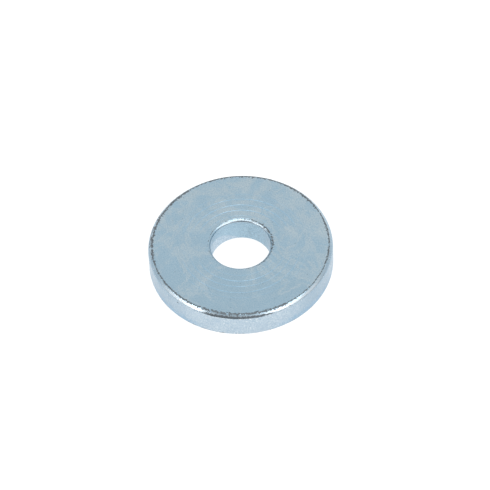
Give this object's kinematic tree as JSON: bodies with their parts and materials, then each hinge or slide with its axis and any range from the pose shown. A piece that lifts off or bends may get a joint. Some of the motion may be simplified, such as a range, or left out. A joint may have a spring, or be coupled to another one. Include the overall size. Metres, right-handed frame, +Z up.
{
  "type": "flat washer",
  "caption": "Thick, wide flat washer for an M12 bolt: a turned, zinc-plated steel ring with a clearance hole and a chamfered upper edge.",
  "frame": {"origin": "centre of the underside, on the hole's axis: the face that lies on the clamped work", "axes": "+Z up along the hole's axis, towards the chamfered face that meets the bolt head or nut; +X and +Y are any two square directions, because the ring is the same all round"},
  "size_m": [0.04, 0.04, 0.006],
  "materials": {
    "zinc_plated_steel": "bright zinc plating with a pale blue passivation over turned and tumbled steel"
  },
  "bodies": {
    "root": {"washer": "zinc_plated_steel"}
  },
  "joints": []
}
